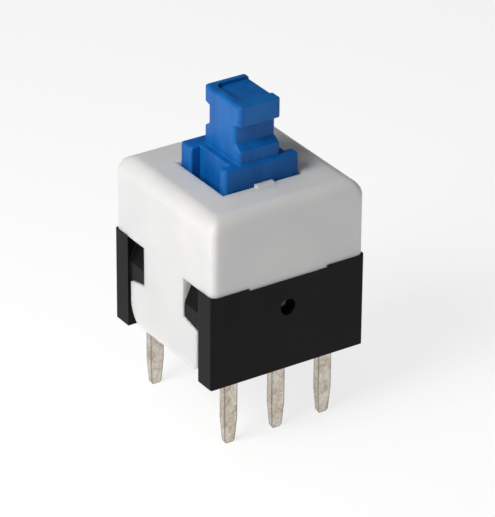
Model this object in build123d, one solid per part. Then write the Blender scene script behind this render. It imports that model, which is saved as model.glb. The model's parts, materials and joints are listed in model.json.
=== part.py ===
from build123d import *
import math
import os

os.makedirs("parts", exist_ok=True)

# ---------------------------------------------------------------------------
# Miniature latching push button switch, two change-over poles.
# Millimetres. Z is up, out of the circuit board. The origin is the middle of
# the square footprint, on the plane where the base sits on the board.
# The pole rows run along X; the front row and the latch are on the -Y side.
# ---------------------------------------------------------------------------

# Housing
body_size = 8.0  # square plan, over the faces of the base's end walls
base_height = 4.55  # top edge of the end walls
wall_thickness = 1.06  # end walls of the base and of the cover above them
wall_corner_radius = 0.1
floor_thickness = 0.9
cover_height = 3.65  # cover from the top edge of the walls to its own top face
cover_top_thickness = 1.0
cover_side_thickness = 0.85  # left and right walls of the cover, and its legs
cover_side_inset = 0.04  # cover's side faces lie inside the ends of the base walls
cover_corner_radius = 0.3
cover_top_radius = 0.72
cover_inner_radius = 0.2
assembly_gap = 0.05  # clearance between pieces that snap together

# Snap legs of the cover and the barbs of the base that hold them
barb_reach = 1.28
barb_thickness = 0.72
barb_recess = 0.1  # barb face behind the end of its wall
barb_ledge_height = 2.65
barb_ledge_fall = 0.27  # the ledge is lower where it meets the wall
barb_ramp_start = 3.31
barb_ramp_depth = 0.56
foot_side_gap = 0.19  # leg foot to end wall
foot_bottom = 0.4
foot_back_taper = (0.58, 1.1)  # width and height taken off the foot's back corner
foot_front_taper = (0.16, 0.5)  # the same for its front corner
foot_curve_middle = (0.26, 0.42)  # middle of those curves, as shares of width and height
key_width = 4.1  # shallow key of the cover in the top edge of each wall
key_depth = 0.11

# Plunger opening in the cover
opening_x = 4.06
opening_y = 3.78
opening_edge_radius = 0.14
guide_gap = 0.05  # guide block to the front and back edges of the opening
guide_side_gap = 0.12  # guide block to its left and right edges
nib_width = 0.95  # low ramped nib at the front edge of the opening
nib_depth = 0.36
nib_height = 0.1
nib_land = 0.1  # flat top of the nib, behind its ramp

# Plunger
travel = 2.2  # full stroke of the plunger
latched_travel = 1.5  # where the latch holds it
guide_rise = 1.02  # guide block above the cover at rest
front_flange = 0.52
back_flange = 0.88
guide_recess = 0.49  # slots down the left and right sides of the guide block
guide_edge_radius = 0.14
slot_edge_radius = 0.1
stalk_width = 2.14
stalk_height = 2.8  # above the guide block
stalk_front = 1.63  # front face of the stalk, from the switch axis
stalk_back = 1.21
front_groove_depth = 0.42
front_lip_height = 0.97  # lip at the face; its underside falls towards the groove
front_lip_fall = 0.2
front_band_height = 0.61  # band under the groove, at the face
front_band_rise = 0.24
back_groove_depth = 0.32
back_lip_height = 0.84
back_lip_fall = 0.07
back_band_height = 0.83
back_band_rise = 0.22
stalk_edge_radius = 0.16
stalk_top_radius = 0.08
dish_depth = 0.2  # shallow dish in the stalk's top, open to the right
dish_left_rim = 0.36
dish_front_rim = 0.55
dish_back_rim = 0.27
dish_corner_radius = 0.4
skirt_side_gap = 0.31  # skirt to the side walls of the cover
skirt_end_gap = 0.59  # skirt to the end walls, where the latch and the contacts run
skirt_drop = 1.15  # foot of the skirt below the top edge of the end walls
shoulder_radius = 0.1

# Return spring
spring_wire = 0.2
spring_mean_diameter = 1.7
spring_turns = 11
spring_pocket_gap = 0.15
spring_pocket_roof = 0.25  # roof of the spring pocket below the ceiling
spring_boss_height = 0.7
spring_boss_gap = 0.15
spring_end_gap = 0.02

# Latch wire, its pivot hole and its track
latch_wire_diameter = 0.36
latch_pivot_drop = 1.5  # below the top edge of the end walls
latch_length = 1.6  # pivot axis to tip axis
latch_lane = 0.5  # sideways offset of each lane of the track
latch_wall_gap = 0.07
latch_bend_radius = 0.3
pivot_bore_gap = 0.03
pivot_mouth_diameter = 0.8
pivot_mouth_depth = 0.45
track_depth = 0.62
track_gap = 0.13  # each side of the wire in its track
track_tip_gap = 0.12  # end of the wire to the bottom of the track
track_end_room = 0.1  # more room under the tip at rest
catch_gap = 0.15  # under the catch, for the tip to cross
catch_notch = 0.16  # depth of the notch that holds the tip

# Terminals
pin_pitch = 2.5
pin_length = 3.5
pin_width = 0.68
blade_thickness = 0.38
blade_proud = 0.04  # blade face proud of the wall it is moulded in
pin_tip_width = 0.52
pin_tip_thickness = 0.24
pin_taper_length = 1.3
pin_nose_length = 0.13
pin_end_share = 0.7  # end face of the nose, as a share of the tip's width and thickness
blade_foot = 0.35  # lower edge of the blades, inside the floor
blade_key_gap = 0.04  # top of the blades to the key above them
flag_width = 1.24
upper_flag_travel = 0.75  # travel at which the upper finger leaves its blade
lower_flag_travel = 1.15  # travel at which the lower finger meets its blade
common_foot_top = 1.75
common_strip_width = 0.5
common_offset = 0.95  # contact line of the common blade, from the switch axis
outer_offset = 1.95  # contact line of the outer blades
stem_gap = 0.12  # stem of the upper blade to the path of its finger

# Sliding contacts
contact_thickness = 0.12
contact_strip_rise = 0.06  # strip above the foot of the skirt
contact_strip_height = 0.36
finger_width = 0.42
finger_touch_rise = 0.69  # from the strip's lower edge to where a finger meets its blade
finger_tip_rise = 0.27  # from there to the finger's tip
finger_touch_length = 0.15  # flat stretch of the finger along its blade
finger_tip_lead = 0.18  # the tip turns this far away from the blade
finger_gap = 0.02
contact_side_gap = 0.02

# Derived places
half = body_size / 2
wall_face = half - wall_thickness
cover_top = base_height + cover_height
ceiling = cover_top - cover_top_thickness
cover_half_x = half - cover_side_inset
cavity_half_x = cover_half_x - cover_side_thickness
row_y = wall_face + blade_thickness / 2 - blade_proud
blade_face = wall_face - blade_proud
guide_half_x = opening_x / 2 - guide_side_gap
guide_half_y = opening_y / 2 - guide_gap
guide_top = cover_top + guide_rise
web_half_x = guide_half_x - guide_recess
skirt_half_x = cavity_half_x - skirt_side_gap
skirt_half_y = wall_face - skirt_end_gap
skirt_bottom = base_height - skirt_drop
stalk_top = guide_top + stalk_height
spring_pocket_radius = (spring_mean_diameter + spring_wire) / 2 + spring_pocket_gap
spring_roof = ceiling - spring_pocket_roof
spring_boss_radius = (spring_mean_diameter - spring_wire) / 2 - spring_boss_gap
latch_y = -(wall_face - latch_wall_gap - latch_wire_diameter / 2)
latch_tilt = math.degrees(math.asin(latch_lane / latch_length))
tip_rise = math.sqrt(latch_length**2 - latch_lane**2)
latch_pivot_height = base_height - latch_pivot_drop
tip_height = latch_pivot_height + tip_rise
track_floor_y = -(skirt_half_y - track_depth)
track_half = latch_wire_diameter / 2 + track_gap
contact_strip_bottom = skirt_bottom + contact_strip_rise
finger_touch_height = contact_strip_bottom + finger_touch_rise
finger_tip_height = finger_touch_height + finger_tip_rise
blade_top = base_height - key_depth - blade_key_gap
upper_flag_bottom = finger_touch_height - upper_flag_travel
lower_flag_top = finger_touch_height - lower_flag_travel


def block(x0, x1, y0, y1, z0, z1):
    """Box between two corners."""
    centre = Pos((x0 + x1) / 2, (y0 + y1) / 2, (z0 + z1) / 2)
    return centre * Box(x1 - x0, y1 - y0, z1 - z0)


def plate_xz(points, y0, y1):
    """Outline in X and Z, with a thickness from y0 to y1."""
    outline = make_face(Polyline([(x, y1, z) for x, z in points], close=True))
    return extrude(outline, y1 - y0, dir=(0, -1, 0))


def plate_yz(points, x0, x1):
    """Outline in Y and Z, with a thickness from x0 to x1."""
    outline = make_face(Polyline([(x0, y, z) for y, z in points], close=True))
    return extrude(outline, x1 - x0, dir=(1, 0, 0))


def rod_z(radius, z0, z1, x=0, y=0):
    """Upright round rod."""
    return Pos(x, y, (z0 + z1) / 2) * Cylinder(radius, z1 - z0)


def rod_y(radius, y0, y1, x, z):
    """Round rod along Y."""
    return Pos(x, (y0 + y1) / 2, z) * Rot(90, 0, 0) * Cylinder(radius, y1 - y0)


def edges_at(part, x=None, y=None, z=None, axis=Axis.Z, tolerance=0.01):
    """Straight edges along an axis whose middle has these absolute coordinates."""

    def near(value, wanted):
        return wanted is None or abs(abs(value) - wanted) < tolerance

    found = part.edges().filter_by(axis)
    return found.filter_by(
        lambda e: near(e.center().X, x) and near(e.center().Y, y) and near(e.center().Z, z)
    )


# --------------------------------------------------------------- terminals


def pin(x):
    """Solder pin from the floor's top down to its tapered tip under the board."""
    taper_top = -pin_length + pin_taper_length
    straight = block(
        x - pin_width / 2,
        x + pin_width / 2,
        -row_y - blade_thickness / 2,
        -row_y + blade_thickness / 2,
        taper_top,
        floor_thickness,
    )
    shoulder = Pos(x, -row_y, taper_top) * Rectangle(pin_width, blade_thickness)
    tip = Pos(x, -row_y, -pin_length + pin_nose_length) * Rectangle(pin_tip_width, pin_tip_thickness)
    end = Pos(x, -row_y, -pin_length) * Rectangle(
        pin_tip_width * pin_end_share, pin_tip_thickness * pin_end_share
    )
    return straight + loft([shoulder, tip]) + loft([tip, end])


def blade(points):
    """Contact blade lying in the front wall of the base."""
    return plate_xz(points, -row_y - blade_thickness / 2, -row_y + blade_thickness / 2)


def upper_terminal():
    """Outer blade that is bare only at the upper level, where the finger rests."""
    outer = -pin_pitch - pin_width / 2
    stem = -(outer_offset + finger_width / 2 + stem_gap)
    inner = outer + flag_width
    outline = [
        (outer, blade_foot),
        (stem, blade_foot),
        (stem, upper_flag_bottom),
        (inner, upper_flag_bottom),
        (inner, blade_top),
        (outer, blade_top),
    ]
    return pin(-pin_pitch) + blade(outline)


def common_terminal():
    """Middle blade, bare over the whole stroke, stepped aside from the latch pivot."""
    left = -pin_width / 2
    strip_left = common_offset - common_strip_width / 2
    strip_right = common_offset + common_strip_width / 2
    outline = [
        (left, blade_foot),
        (strip_right, blade_foot),
        (strip_right, blade_top),
        (strip_left, blade_top),
        (strip_left, common_foot_top),
        (left, common_foot_top),
    ]
    return pin(0) + blade(outline)


def lower_terminal():
    """Outer blade that is bare only at the lower level, where the pressed finger stops."""
    outer = pin_pitch + pin_width / 2
    inner = outer - flag_width
    outline = [
        (inner, blade_foot),
        (outer, blade_foot),
        (outer, lower_flag_top),
        (inner, lower_flag_top),
    ]
    return pin(pin_pitch) + blade(outline)


# -------------------------------------------------------------------- base


def barb():
    """Barb at the front end of the left face: flat face, lead-in ramp above, ledge below."""
    face = half - barb_recess
    back = face - barb_thickness
    tip = wall_face - barb_reach
    side = plate_xz(
        [
            (-face, barb_ledge_height - barb_ledge_fall),
            (-back, barb_ledge_height - barb_ledge_fall),
            (-back, base_height),
            (-face + barb_ramp_depth, base_height),
            (-face, barb_ramp_start),
        ],
        -wall_face,
        -tip,
    )
    ledge = plate_yz(
        [
            (-wall_face, barb_ledge_height - barb_ledge_fall),
            (-tip, barb_ledge_height),
            (-tip, base_height),
            (-wall_face, base_height),
        ],
        -face,
        -back,
    )
    return side & ledge


def base(terminals):
    """Channel with a floor and two end walls, moulded around the terminals."""
    floor_half_x = cavity_half_x - assembly_gap
    body = block(-floor_half_x, floor_half_x, -half, half, 0, floor_thickness)
    walls = block(-half, half, -half, half, 0, base_height)
    walls -= block(-half, half, -wall_face, wall_face, 0, base_height)
    walls = fillet(edges_at(walls, x=half, y=half), wall_corner_radius)
    body += walls
    front_barbs = barb() + mirror(barb(), Plane.YZ)
    body += front_barbs + mirror(front_barbs, Plane.XZ)
    body += rod_z(spring_boss_radius, floor_thickness, floor_thickness + spring_boss_height)
    key_slot = block(-key_width / 2, key_width / 2, -half, half, base_height - key_depth, base_height)
    body -= key_slot
    bore_radius = latch_wire_diameter / 2 + pivot_bore_gap
    body -= rod_y(bore_radius, -half, -wall_face, 0, latch_pivot_height)
    body -= rod_y(pivot_mouth_diameter / 2, -half, -half + pivot_mouth_depth, 0, latch_pivot_height)
    for terminal in terminals:
        body -= terminal
    return body


# ------------------------------------------------------------------- cover


def foot_half(side, taper):
    """Half of the left snap leg: neck and foot, with the foot's lower corner curved in."""
    width, height = taper
    neck = wall_face - barb_reach - assembly_gap
    foot = wall_face - foot_side_gap
    shoulder_inner = barb_ledge_height - assembly_gap
    shoulder_outer = shoulder_inner - barb_ledge_fall * (foot - neck) / barb_reach
    face = -cover_half_x
    start = (face, side * foot, foot_bottom + height)
    middle_y = foot - width * foot_curve_middle[0]
    middle = (face, side * middle_y, foot_bottom + height * foot_curve_middle[1])
    end = (face, side * (foot - width), foot_bottom)
    outline = Polyline(
        end,
        (face, 0, foot_bottom),
        (face, 0, base_height),
        (face, side * neck, base_height),
        (face, side * neck, shoulder_inner),
        (face, side * foot, shoulder_outer),
        start,
    )
    outline += ThreePointArc(start, middle, end)
    return extrude(make_face(outline), cover_side_thickness, dir=(1, 0, 0))


def leg():
    """Left snap leg: a neck between the barbs and a wider foot under them."""
    return foot_half(1, foot_back_taper) + foot_half(-1, foot_front_taper)


def nib():
    """Low nib on the front edge of the opening, ramped down to the cover's top."""
    back = -opening_y / 2
    low = cover_top - opening_edge_radius
    return plate_yz(
        [
            (back, low),
            (back, cover_top + nib_height),
            (back - nib_land, cover_top + nib_height),
            (back - nib_depth, cover_top),
            (back - nib_depth, low),
        ],
        -nib_width / 2,
        nib_width / 2,
    )


def cover():
    """Box shell with a plunger opening, two snap legs and a key under each end wall."""
    shell = block(-cover_half_x, cover_half_x, -half, half, base_height, cover_top)
    shell = fillet(edges_at(shell, x=cover_half_x, y=half), cover_corner_radius)
    shell = fillet(shell.edges().group_by(Axis.Z)[-1], cover_top_radius)
    cavity = block(-cavity_half_x, cavity_half_x, -wall_face, wall_face, base_height, ceiling)
    cavity = fillet(edges_at(cavity, x=cavity_half_x, y=wall_face), cover_inner_radius)
    shell -= cavity
    shell -= block(-opening_x / 2, opening_x / 2, -opening_y / 2, opening_y / 2, ceiling, cover_top)
    rim = edges_at(shell, x=opening_x / 2, z=cover_top, axis=Axis.Y)
    rim += edges_at(shell, y=opening_y / 2, z=cover_top, axis=Axis.X)
    shell = fillet(rim, opening_edge_radius)
    key = block(
        -key_width / 2 + assembly_gap,
        key_width / 2 - assembly_gap,
        -half,
        -wall_face,
        base_height - key_depth,
        base_height,
    )
    shell += key + mirror(key, Plane.XZ)
    shell += nib()
    left_leg = leg()
    return shell + left_leg + mirror(left_leg, Plane.YZ)


# ----------------------------------------------------------------- plunger


def stalk():
    """Square stalk with a flat groove across its front and its back."""
    front = -stalk_front
    back = stalk_back
    front_groove = front + front_groove_depth
    back_groove = back - back_groove_depth
    front_lip = stalk_top - front_lip_height
    back_lip = stalk_top - back_lip_height
    front_band = guide_top + front_band_height
    back_band = guide_top + back_band_height
    outline = [
        (front, guide_top),
        (front, front_band),
        (front_groove, front_band + front_band_rise),
        (front_groove, front_lip - front_lip_fall),
        (front, front_lip),
        (front, stalk_top),
        (back, stalk_top),
        (back, back_lip),
        (back_groove, back_lip - back_lip_fall),
        (back_groove, back_band + back_band_rise),
        (back, back_band),
        (back, guide_top),
    ]
    body = plate_yz(outline, -stalk_width / 2, stalk_width / 2)
    corners = body.edges().filter_by(Plane.YZ)
    body = fillet(corners.filter_by(lambda e: e.center().Z > guide_top), stalk_edge_radius)
    body = fillet(body.edges().group_by(Axis.Z)[-1], stalk_top_radius)
    dish = block(
        -stalk_width / 2 + dish_left_rim,
        stalk_width / 2,
        front + dish_front_rim,
        back - dish_back_rim,
        stalk_top - dish_depth,
        stalk_top,
    )
    dish = fillet(edges_at(dish, x=stalk_width / 2 - dish_left_rim), dish_corner_radius)
    return body - dish


def guide():
    """Guide block in the opening, with a slot down each side."""
    body = block(-guide_half_x, guide_half_x, -guide_half_y, guide_half_y, ceiling, guide_top)
    body = fillet(edges_at(body, x=guide_half_x, y=guide_half_y), guide_edge_radius)
    return fillet(body.edges().group_by(Axis.Z)[-1], guide_edge_radius)


def side_slots():
    """Slots down the left and right sides of the guide block and the skirt."""
    slot = block(
        -half,
        -web_half_x,
        -guide_half_y + front_flange,
        guide_half_y - back_flange,
        skirt_bottom,
        guide_top,
    )
    return slot + mirror(slot, Plane.YZ)


def slot_edges(body):
    """Rounds the guide block's upright edges at the mouths of the slots."""
    mouths = edges_at(body, x=guide_half_x).filter_by(lambda e: e.center().Z > ceiling)
    return fillet(mouths, slot_edge_radius)


def track():
    """Latch track sunk in the front of the skirt: two lanes around a catch."""
    top = tip_height + travel
    bottom = tip_height - track_half - track_end_room
    catch_seat = tip_height + latched_travel - latch_wire_diameter / 2
    lane_outer = latch_lane + track_half
    lane_inner = latch_lane - track_half
    outline = [
        (-lane_outer, bottom),
        (lane_outer, bottom),
        (lane_outer, top + track_half),
        (-lane_outer, top + track_half),
    ]
    front = -skirt_half_y
    recess = plate_xz(outline, front, track_floor_y)
    catch_bottom = tip_height + track_half + catch_gap
    catch = plate_xz(
        [
            (0, catch_bottom),
            (lane_inner, catch_bottom + lane_inner),
            (lane_inner, catch_seat + catch_notch),
            (0, catch_seat),
            (-lane_inner, catch_seat + catch_notch),
            (-lane_inner, catch_bottom + lane_inner),
        ],
        front,
        track_floor_y,
    )
    return recess - catch


def contact_seat():
    """Flush recess across the front of the skirt for the strip of a sliding contact."""
    return block(
        -skirt_half_x,
        skirt_half_x,
        -skirt_half_y,
        -skirt_half_y + contact_thickness,
        contact_strip_bottom,
        contact_strip_bottom + contact_strip_height,
    )


def plunger():
    """Button, guide block and skirt in one moulding."""
    skirt = block(-skirt_half_x, skirt_half_x, -skirt_half_y, skirt_half_y, skirt_bottom, ceiling)
    skirt = fillet(edges_at(skirt, x=skirt_half_x, y=skirt_half_y), shoulder_radius)
    body = skirt + guide()
    body -= side_slots()
    body = slot_edges(body)
    body += stalk()
    body -= rod_z(spring_pocket_radius, skirt_bottom, spring_roof)
    body -= track()
    seat = contact_seat()
    return body - seat - mirror(seat, Plane.XZ)


# ------------------------------------------------------- spring, latch, contacts


def return_spring():
    """Compression spring between the floor and the roof of its pocket."""
    low = floor_thickness + spring_wire / 2 + spring_end_gap
    high = spring_roof - spring_wire / 2 - spring_end_gap
    pitch = (high - low) / spring_turns
    radius = spring_mean_diameter / 2
    path = Pos(0, 0, low) * Helix(pitch, high - low, radius)
    start = Plane(origin=path @ 0, z_dir=path % 0)
    return sweep(start * Circle(spring_wire / 2), path=path)


def latch_wire():
    """Staple of round wire: pivot leg in the wall, upright shank, tip in the track."""
    pivot_end = -half + pivot_mouth_depth
    tip_end = track_floor_y - track_tip_gap
    points = [
        (0, pivot_end, 0),
        (0, latch_y, 0),
        (0, latch_y, latch_length),
        (0, tip_end, latch_length),
    ]
    path = FilletPolyline(points, radius=latch_bend_radius)
    start = Plane(origin=path @ 0, z_dir=path % 0)
    staple = sweep(start * Circle(latch_wire_diameter / 2), path=path)
    return Pos(0, 0, latch_pivot_height) * Rot(0, -latch_tilt, 0) * staple


def finger(x):
    """Sprung finger that leans from the strip out to its blade and back."""
    root = -skirt_half_y
    touch = -(blade_face - finger_gap)
    tip = touch + finger_tip_lead
    outline = [
        (root, contact_strip_bottom),
        (touch, finger_touch_height - finger_touch_length / 2),
        (touch, finger_touch_height + finger_touch_length / 2),
        (tip, finger_tip_height),
        (tip + contact_thickness, finger_tip_height),
        (touch + contact_thickness, finger_touch_height),
        (root + contact_thickness, contact_strip_bottom + contact_thickness),
        (root + contact_thickness, contact_strip_bottom),
    ]
    return plate_yz(outline, x - finger_width / 2, x + finger_width / 2)


def contact():
    """Sliding contact of the front pole: a strip in the skirt with three fingers."""
    piece = block(
        -skirt_half_x + contact_side_gap,
        skirt_half_x - contact_side_gap,
        -skirt_half_y,
        -skirt_half_y + contact_thickness,
        contact_strip_bottom,
        contact_strip_bottom + contact_strip_height,
    )
    for x in (-outer_offset, common_offset, outer_offset):
        piece += finger(x)
    return piece


# ------------------------------------------------------------------- output


def turned(piece):
    """The same piece for the back pole, half a turn about Z."""
    return Rot(0, 0, 180) * piece


front_pole = {"nc": upper_terminal(), "com": common_terminal(), "no": lower_terminal()}
pieces = {f"terminal_front_{name}": piece for name, piece in front_pole.items()}
pieces.update({f"terminal_back_{name}": turned(piece) for name, piece in front_pole.items()})
terminal_pieces = list(pieces.values())
front_contact = contact()
pieces["base"] = base(terminal_pieces)
pieces["cover"] = cover()
pieces["plunger"] = plunger()
pieces["return_spring"] = return_spring()
pieces["latch_wire"] = latch_wire()
pieces["contact_front"] = front_contact
pieces["contact_back"] = turned(front_contact)

for name, piece in pieces.items():
    export_step(piece, f"parts/{name}.step")

print("row spacing", round(2 * row_y, 3), "height above the board", round(stalk_top, 3))
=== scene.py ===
import json
import math

import bpy
from mathutils import Matrix, Vector


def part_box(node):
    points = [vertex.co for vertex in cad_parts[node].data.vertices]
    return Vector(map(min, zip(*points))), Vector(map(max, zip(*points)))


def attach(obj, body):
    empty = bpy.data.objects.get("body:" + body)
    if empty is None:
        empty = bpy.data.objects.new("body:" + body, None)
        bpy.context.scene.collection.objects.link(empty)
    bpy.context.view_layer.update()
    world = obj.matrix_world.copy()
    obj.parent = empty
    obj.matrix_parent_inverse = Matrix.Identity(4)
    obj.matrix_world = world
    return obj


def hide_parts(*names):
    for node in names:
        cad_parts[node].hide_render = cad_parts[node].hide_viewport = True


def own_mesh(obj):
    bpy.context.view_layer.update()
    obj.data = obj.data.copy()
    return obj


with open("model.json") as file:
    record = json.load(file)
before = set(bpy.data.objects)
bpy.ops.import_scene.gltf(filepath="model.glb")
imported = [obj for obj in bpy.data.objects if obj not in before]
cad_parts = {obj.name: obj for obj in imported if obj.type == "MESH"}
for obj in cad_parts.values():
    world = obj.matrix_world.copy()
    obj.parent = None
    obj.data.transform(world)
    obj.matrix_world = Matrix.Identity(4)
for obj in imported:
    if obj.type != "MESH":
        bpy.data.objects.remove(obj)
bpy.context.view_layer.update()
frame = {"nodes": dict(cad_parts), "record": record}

# Everything is in metres; lengths written in millimetres are scaled by MM.
MM = 0.001
TEXTURE_SCALE = 1 / MM  # texture space counts millimetres

# Shading
BEVEL_SAMPLES = 6
SOFT_NOISE = (0.35, 0.65)  # most of a cloudy noise lies between these values
FINE_NOISE = (0.3, 0.7)  # and most of a grainy one between these
EDGE_FLAT = 1.0  # dot of the rounded and the true normal on a flat face
EDGE_FULL = 0.8  # the same on a fully rounded edge, where the mouldings' painted highlight is strongest

# Floor, under the pin tips
FLOOR_HALF_SIDE = 0.6
FLOOR_Z = min(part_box(name)[0][2] for name in frame["nodes"])
FLOOR_COLOUR = (0.30, 0.30, 0.30, 1.0)
FLOOR_ROUGHNESS = 0.9
FLOOR_SPECULAR = 0.1
FLOOR_GLOW = 0.78
WHITE = (1.0, 1.0, 1.0)

# Light: sizes in metres, powers in watts
SURROUND_COLOUR = (0.90, 0.96, 1.0, 1.0)
SURROUND_STRENGTH = 0.10
LIGHT_AIM = (0.0, 0.0, 0.005)
KEY_PLACE = (-0.066, -0.012, 0.058)
KEY_SIZE = 0.045
KEY_POWER = 0.068
KEY_COLOUR = (1.0, 0.985, 0.96)
TOP_PLACE = (-0.03, 0.04, 0.16)
TOP_SIZE = 0.10
TOP_POWER = 0.028

# Camera: front-left, from above, through a long lens
CAMERA_AZIMUTH = math.radians(-33.21)
CAMERA_ELEVATION = math.radians(28.29)
CAMERA_ROLL = math.radians(0.47)
CAMERA_DISTANCE = 0.15993
CAMERA_TARGET = Vector((0.506, 0.065, 3.454)) * MM
LENS = 249.5  # focal length, mm
SENSOR_WIDTH = 36.0  # mm
CLIP_START = 0.01
CLIP_END = 10.0


# ---------------------------------------------------------------- materials


class Finish:
    """A principled material with short calls for the nodes that its detail needs."""

    def __init__(self, name):
        self.material = bpy.data.materials.new(name)
        self.material.use_nodes = True
        self.tree = self.material.node_tree
        self.shader = self.tree.nodes["Principled BSDF"]
        coordinates = self.tree.nodes.new("ShaderNodeTexCoord")
        self.space = self.tree.nodes.new("ShaderNodeMapping")
        self.space.inputs["Scale"].default_value = (TEXTURE_SCALE,) * 3
        self.link(coordinates.outputs["Object"], self.space.inputs["Vector"])

    def set(self, **values):
        """Constant values on the shader's own sockets."""
        for key, value in values.items():
            self.shader.inputs[key.replace("_", " ")].default_value = value

    def link(self, output, target):
        self.tree.links.new(output, target)

    def colour(self, output):
        self.link(output, self.shader.inputs["Base Color"])

    def roughness(self, output):
        self.link(output, self.shader.inputs["Roughness"])

    def stretched(self, x, y, z):
        """Texture space with its own scale along each axis."""
        node = self.tree.nodes.new("ShaderNodeMapping")
        node.inputs["Scale"].default_value = (x, y, z)
        self.link(self.space.outputs["Vector"], node.inputs["Vector"])
        return node.outputs["Vector"]

    def noise(self, per_mm, detail=3.0, roughness=0.55, space=None):
        """Noise with this many features to a millimetre."""
        node = self.tree.nodes.new("ShaderNodeTexNoise")
        node.inputs["Scale"].default_value = per_mm
        node.inputs["Detail"].default_value = detail
        node.inputs["Roughness"].default_value = roughness
        self.link(space or self.space.outputs["Vector"], node.inputs["Vector"])
        return node.outputs["Fac"]

    def span(self, value, low, high, out_low=0.0, out_high=1.0):
        """Maps a value from one range to another, clamped."""
        node = self.tree.nodes.new("ShaderNodeMapRange")
        node.inputs["From Min"].default_value = low
        node.inputs["From Max"].default_value = high
        node.inputs["To Min"].default_value = out_low
        node.inputs["To Max"].default_value = out_high
        self.link(value, node.inputs["Value"])
        return node.outputs["Result"]

    def maths(self, operation, first, second):
        """A math node on two values, either of which may be a number."""
        node = self.tree.nodes.new("ShaderNodeMath")
        node.operation = operation
        for socket, value in zip(node.inputs, (first, second)):
            if isinstance(value, (int, float)):
                socket.default_value = value
            else:
                self.link(value, socket)
        return node.outputs["Value"]

    def blend(self, factor, first, second):
        """A colour between two colours, either of which may be a node's output."""
        node = self.tree.nodes.new("ShaderNodeMix")
        node.data_type = "RGBA"
        self.link(factor, node.inputs["Factor"])
        for name, value in (("A", first), ("B", second)):
            socket = [s for s in node.inputs if s.name == name and s.type == "RGBA"][0]
            if isinstance(value, tuple):
                socket.default_value = (*value, 1.0)
            else:
                self.link(value, socket)
        return [s for s in node.outputs if s.type == "RGBA"][0]

    def rounded_normal(self, radius_mm):
        """The surface's normal with its edges rounded by this radius."""
        bevel = self.tree.nodes.new("ShaderNodeBevel")
        bevel.samples = BEVEL_SAMPLES
        bevel.inputs["Radius"].default_value = radius_mm * MM
        return bevel.outputs["Normal"]

    def edges(self, radius_mm):
        """About 1 along sharp outer edges and 0 on faces."""
        geometry = self.tree.nodes.new("ShaderNodeNewGeometry")
        dot = self.tree.nodes.new("ShaderNodeVectorMath")
        dot.operation = "DOT_PRODUCT"
        self.link(self.rounded_normal(radius_mm), dot.inputs[0])
        self.link(geometry.outputs["Normal"], dot.inputs[1])
        return self.span(dot.outputs["Value"], EDGE_FLAT, EDGE_FULL)

    def polished(self, rough, edge, amount):
        """Roughness that falls by this amount along the edges."""
        self.roughness(self.maths("SUBTRACT", rough, self.maths("MULTIPLY", edge, amount)))

    def relief(self, layers, soften_mm):
        """Bump layers, each a height value and its depth in millimetres, over rounded edges."""
        normal = self.rounded_normal(soften_mm)
        for height, depth_mm in layers:
            bump = self.tree.nodes.new("ShaderNodeBump")
            bump.inputs["Strength"].default_value = 1.0
            bump.inputs["Distance"].default_value = depth_mm * MM
            self.link(height, bump.inputs["Height"])
            self.link(normal, bump.inputs["Normal"])
            normal = bump.outputs["Normal"]
        self.link(normal, self.shader.inputs["Normal"])


def white_moulding():
    """Milky white cover: satin face, faint sink waviness, slightly clearer edges lightened by a
    painted highlight.
    """
    finish = Finish("white_moulding")
    cloud = finish.noise(0.35, detail=2.0)
    grain = finish.noise(14.0, detail=4.0)
    edge = finish.edges(0.08)
    cool, warm, edge_highlight_and_shear = (0.655, 0.660, 0.665), (0.700, 0.695, 0.685), (0.745, 0.735, 0.720)
    face = finish.blend(finish.span(cloud, *SOFT_NOISE), cool, warm)
    # The third colour, blended in along the edges, is a painted highlight.
    finish.colour(finish.blend(edge, face, edge_highlight_and_shear))
    finish.polished(finish.span(grain, *FINE_NOISE, 0.32, 0.46), edge, 0.08)
    finish.set(Subsurface_Weight=0.85, Subsurface_Scale=0.8 * MM)
    finish.set(Subsurface_Radius=(1.0, 0.92, 0.85), IOR=1.48, Specular_IOR_Level=0.35)
    finish.relief([(cloud, 0.014), (grain, 0.0016)], soften_mm=0.06)
    return finish.material


def black_moulding():
    """Matt black base: fine spark-eroded grain, smoother along its edges, which a painted
    highlight makes greyer.
    """
    finish = Finish("black_moulding")
    cloud = finish.noise(0.6, detail=3.0)
    grain = finish.noise(22.0, detail=5.0, roughness=0.7)
    edge = finish.edges(0.06)
    dark, light, edge_highlight_and_shear = (0.0024, 0.0020, 0.0028), (0.0044, 0.0038, 0.0050), (0.020, 0.018, 0.021)
    face = finish.blend(finish.span(cloud, *SOFT_NOISE), dark, light)
    # The third colour, blended in along the edges, is a painted highlight that greys them.
    finish.colour(finish.blend(edge, face, edge_highlight_and_shear))
    finish.polished(finish.span(grain, *FINE_NOISE, 0.36, 0.56), edge, 0.10)
    finish.set(IOR=1.5, Specular_IOR_Level=0.12)
    finish.relief([(cloud, 0.008), (grain, 0.0030)], soften_mm=0.05)
    return finish.material


def blue_moulding():
    """Satin blue plunger with faint flow marks up its height and edges made paler by a painted
    highlight.
    """
    finish = Finish("blue_moulding")
    flow = finish.noise(1.0, detail=3.0, space=finish.stretched(1.6, 1.6, 0.35))
    grain = finish.noise(16.0, detail=4.0)
    edge = finish.edges(0.09)
    deep, clear, edge_highlight_and_shear = (0.003, 0.098, 0.360), (0.005, 0.128, 0.430), (0.010, 0.200, 0.540)
    face = finish.blend(finish.span(flow, *SOFT_NOISE), deep, clear)
    # The third colour, blended in along the edges, is a painted highlight that makes them paler.
    finish.colour(finish.blend(edge, face, edge_highlight_and_shear))
    finish.polished(finish.span(grain, *FINE_NOISE, 0.34, 0.48), edge, 0.08)
    finish.set(Subsurface_Weight=0.15, Subsurface_Scale=0.25 * MM)
    finish.set(Subsurface_Radius=(0.2, 0.6, 1.0), IOR=1.5, Specular_IOR_Level=0.22)
    finish.relief([(flow, 0.012), (grain, 0.0022)], soften_mm=0.07)
    return finish.material


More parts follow.
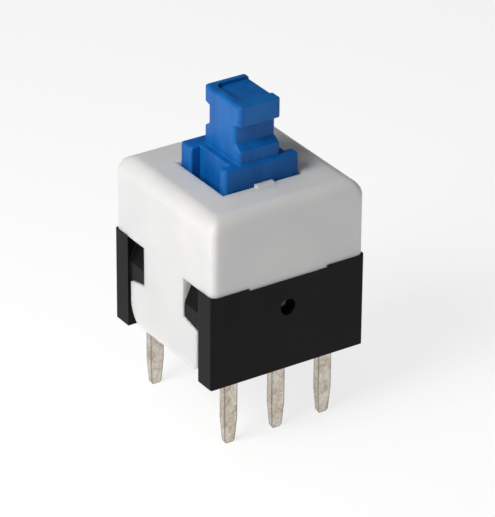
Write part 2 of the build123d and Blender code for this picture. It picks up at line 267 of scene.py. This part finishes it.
def tinned_brass():
    """Dull tin plate over stamped brass: cloudy face, fine drawn lines, brown sheared edges."""
    finish = Finish("tinned_brass")
    cloud = finish.noise(1.6, detail=4.0, roughness=0.6)
    mottle = finish.noise(6.0, detail=6.0, roughness=0.75)
    lines = finish.noise(1.0, detail=4.0, roughness=0.6, space=finish.stretched(22.0, 22.0, 1.6))
    pits = finish.span(finish.noise(9.0, detail=5.0, roughness=0.8), 0.60, 0.70)
    edge = finish.edges(0.13)
    dull, plain, bright = (0.36, 0.305, 0.24), (0.66, 0.60, 0.515), (0.80, 0.77, 0.72)
    pit, brown = (0.20, 0.14, 0.09), (0.11, 0.080, 0.055)
    face = finish.blend(finish.span(mottle, 0.36, 0.64), dull, plain)
    face = finish.blend(finish.span(cloud, 0.45, 0.62, 0.0, 0.35), face, bright)
    face = finish.blend(finish.maths("MULTIPLY", pits, 0.75), face, pit)
    edge_highlight_and_shear = finish.maths("MULTIPLY", edge, finish.span(mottle, 0.30, 0.55, 0.35, 1.0))
    finish.colour(finish.blend(edge_highlight_and_shear, face, brown))
    finish.roughness(finish.span(cloud, *SOFT_NOISE, 0.42, 0.26))
    finish.set(Metallic=1.0)
    layers = [(cloud, 0.030), (mottle, 0.010), (lines, 0.004), (pits, -0.004)]
    finish.relief(layers, soften_mm=0.10)
    return finish.material


def drawn_wire(name, dark, light):
    """Drawn wire or bright strip: fine lines along the metal and small rub marks."""
    finish = Finish(name)
    lines = finish.noise(1.0, detail=4.0, space=finish.stretched(25.0, 25.0, 3.0))
    rub = finish.noise(6.0, detail=4.0)
    finish.colour(finish.blend(finish.span(rub, *SOFT_NOISE), dark, light))
    finish.roughness(finish.span(lines, *FINE_NOISE, 0.18, 0.34))
    finish.set(Metallic=1.0)
    finish.relief([(lines, 0.001)], soften_mm=0.02)
    return finish.material


def paint_nodes():
    """Gives every CAD node the finish that its material slot names."""
    finishes = {
        "cover": white_moulding(),
        "base": black_moulding(),
        "plunger": blue_moulding(),
        "tinned_brass": tinned_brass(),
        "spring_steel": drawn_wire("spring_wire", (0.46, 0.46, 0.47), (0.62, 0.62, 0.64)),
        "latch_steel": drawn_wire("latch_wire_steel", (0.42, 0.42, 0.44), (0.58, 0.58, 0.60)),
        "contact_bronze": drawn_wire("contact_bronze", (0.62, 0.38, 0.20), (0.80, 0.56, 0.34)),
    }
    for part in frame["record"]["subparts"]:
        node = frame["nodes"][part["node"]]
        node.data.materials.clear()
        node.data.materials.append(finishes[part["material_slot"]])
    return finishes


# ------------------------------------------------------------------- pieces


def add_object(name, data):
    """A new object in the scene."""
    piece = bpy.data.objects.new(name, data)
    bpy.context.collection.objects.link(piece)
    return piece


def coil(finish):
    """Return spring: a copy of the rigid CAD coil, attached to the housing in its place."""
    mesh = frame["nodes"]["return_spring"].data.copy()
    mesh.materials.clear()
    mesh.materials.append(finish)
    piece = add_object("return_spring_coil", mesh)
    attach(piece, "housing")
    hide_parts("return_spring")
    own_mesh(piece)


# ------------------------------------------------------------------- studio


def floor():
    """Plain pale floor under the pin tips."""
    mesh = bpy.data.meshes.new("floor")
    signs = ((-1, -1), (1, -1), (1, 1), (-1, 1))
    corners = [(x * FLOOR_HALF_SIDE, y * FLOOR_HALF_SIDE, FLOOR_Z) for x, y in signs]
    mesh.from_pydata(corners, [], [(0, 1, 2, 3)])
    piece = add_object("floor", mesh)
    finish = bpy.data.materials.new("pale_floor")
    finish.use_nodes = True
    shader = finish.node_tree.nodes["Principled BSDF"]
    shader.inputs["Base Color"].default_value = FLOOR_COLOUR
    shader.inputs["Roughness"].default_value = FLOOR_ROUGHNESS
    shader.inputs["Specular IOR Level"].default_value = FLOOR_SPECULAR
    shader.inputs["Emission Color"].default_value = (*WHITE, 1.0)
    shader.inputs["Emission Strength"].default_value = FLOOR_GLOW
    mesh.materials.append(finish)


def area_light(name, place, size, power, colour=WHITE):
    """Square soft box at a place, facing the object."""
    data = bpy.data.lights.new(name, "AREA")
    data.shape = "SQUARE"
    data.size = size
    data.energy = power
    data.color = colour
    light = add_object(name, data)
    light.location = place
    facing = Vector(LIGHT_AIM) - Vector(place)
    light.rotation_euler = facing.to_track_quat("-Z", "Y").to_euler()


def studio():
    """Near soft box on the left, a weak one above, and a dim surround."""
    world = bpy.data.worlds.new("studio")
    world.use_nodes = True
    background = world.node_tree.nodes["Background"]
    background.inputs["Color"].default_value = SURROUND_COLOUR
    background.inputs["Strength"].default_value = SURROUND_STRENGTH
    bpy.context.scene.world = world
    area_light("key", KEY_PLACE, KEY_SIZE, KEY_POWER, KEY_COLOUR)
    area_light("top", TOP_PLACE, TOP_SIZE, TOP_POWER)
    bpy.context.scene.view_settings.view_transform = "Standard"


def camera():
    """Camera at the viewing angle of the reference photograph."""
    back = Vector(
        (
            math.sin(CAMERA_AZIMUTH) * math.cos(CAMERA_ELEVATION),
            -math.cos(CAMERA_AZIMUTH) * math.cos(CAMERA_ELEVATION),
            math.sin(CAMERA_ELEVATION),
        )
    )
    level = Vector((0.0, 0.0, 1.0)).cross(back).normalized()
    upward = back.cross(level)
    right = level * math.cos(CAMERA_ROLL) + upward * math.sin(CAMERA_ROLL)
    up = upward * math.cos(CAMERA_ROLL) - level * math.sin(CAMERA_ROLL)
    data = bpy.data.cameras.new("camera")
    data.lens = LENS
    data.sensor_width = SENSOR_WIDTH
    data.clip_start = CLIP_START
    data.clip_end = CLIP_END
    piece = add_object("camera", data)
    place = Matrix.Translation(CAMERA_TARGET + back * CAMERA_DISTANCE)
    piece.matrix_world = place @ Matrix((right, up, back)).transposed().to_4x4()
    bpy.context.scene.camera = piece


finishes = paint_nodes()
coil(finishes["spring_steel"])
floor()
studio()
camera()
